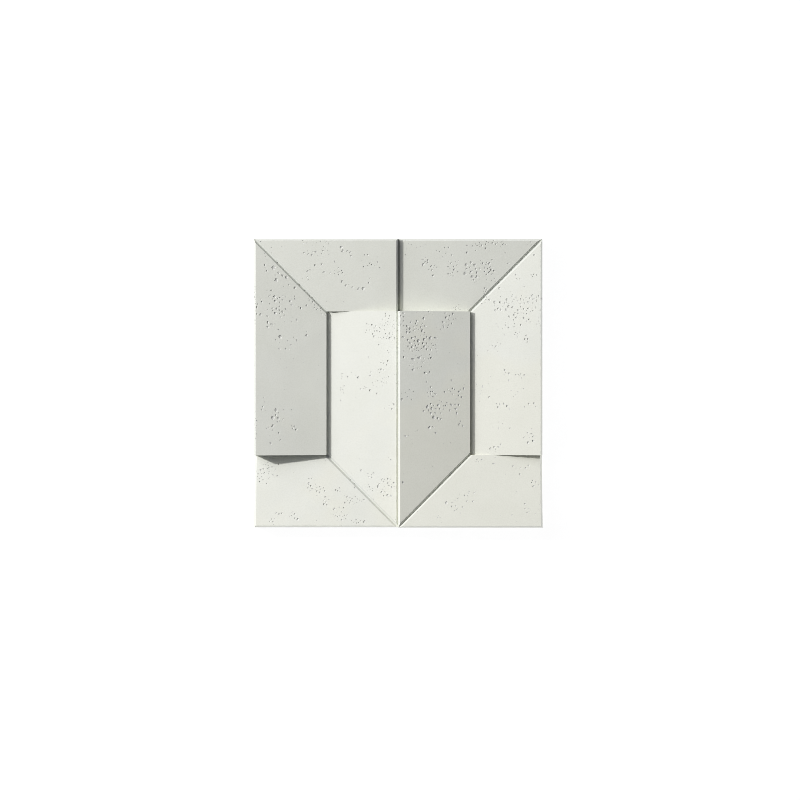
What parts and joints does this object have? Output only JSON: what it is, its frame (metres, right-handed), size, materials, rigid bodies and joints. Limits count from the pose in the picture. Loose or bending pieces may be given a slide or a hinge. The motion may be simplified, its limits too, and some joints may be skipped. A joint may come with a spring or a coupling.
{
  "type": "relief wall panel tile",
  "caption": "Square wall panel of pale cast concrete whose face is wide sloping strips, mitred at the corners and set on two levels, with V-grooves between them",
  "frame": {"origin": "centre of the flat back face, which lies on the floor", "axes": "+Z comes out of the relief face, +Y is up the wall as in the picture, +X is to the right of someone facing the panel"},
  "size_m": [0.6, 0.6, 0.0512],
  "materials": {
    "concrete": "fair-faced cast concrete, matt, with small air pores"
  },
  "bodies": {
    "root": {"concrete_panel": "concrete"}
  },
  "joints": []
}
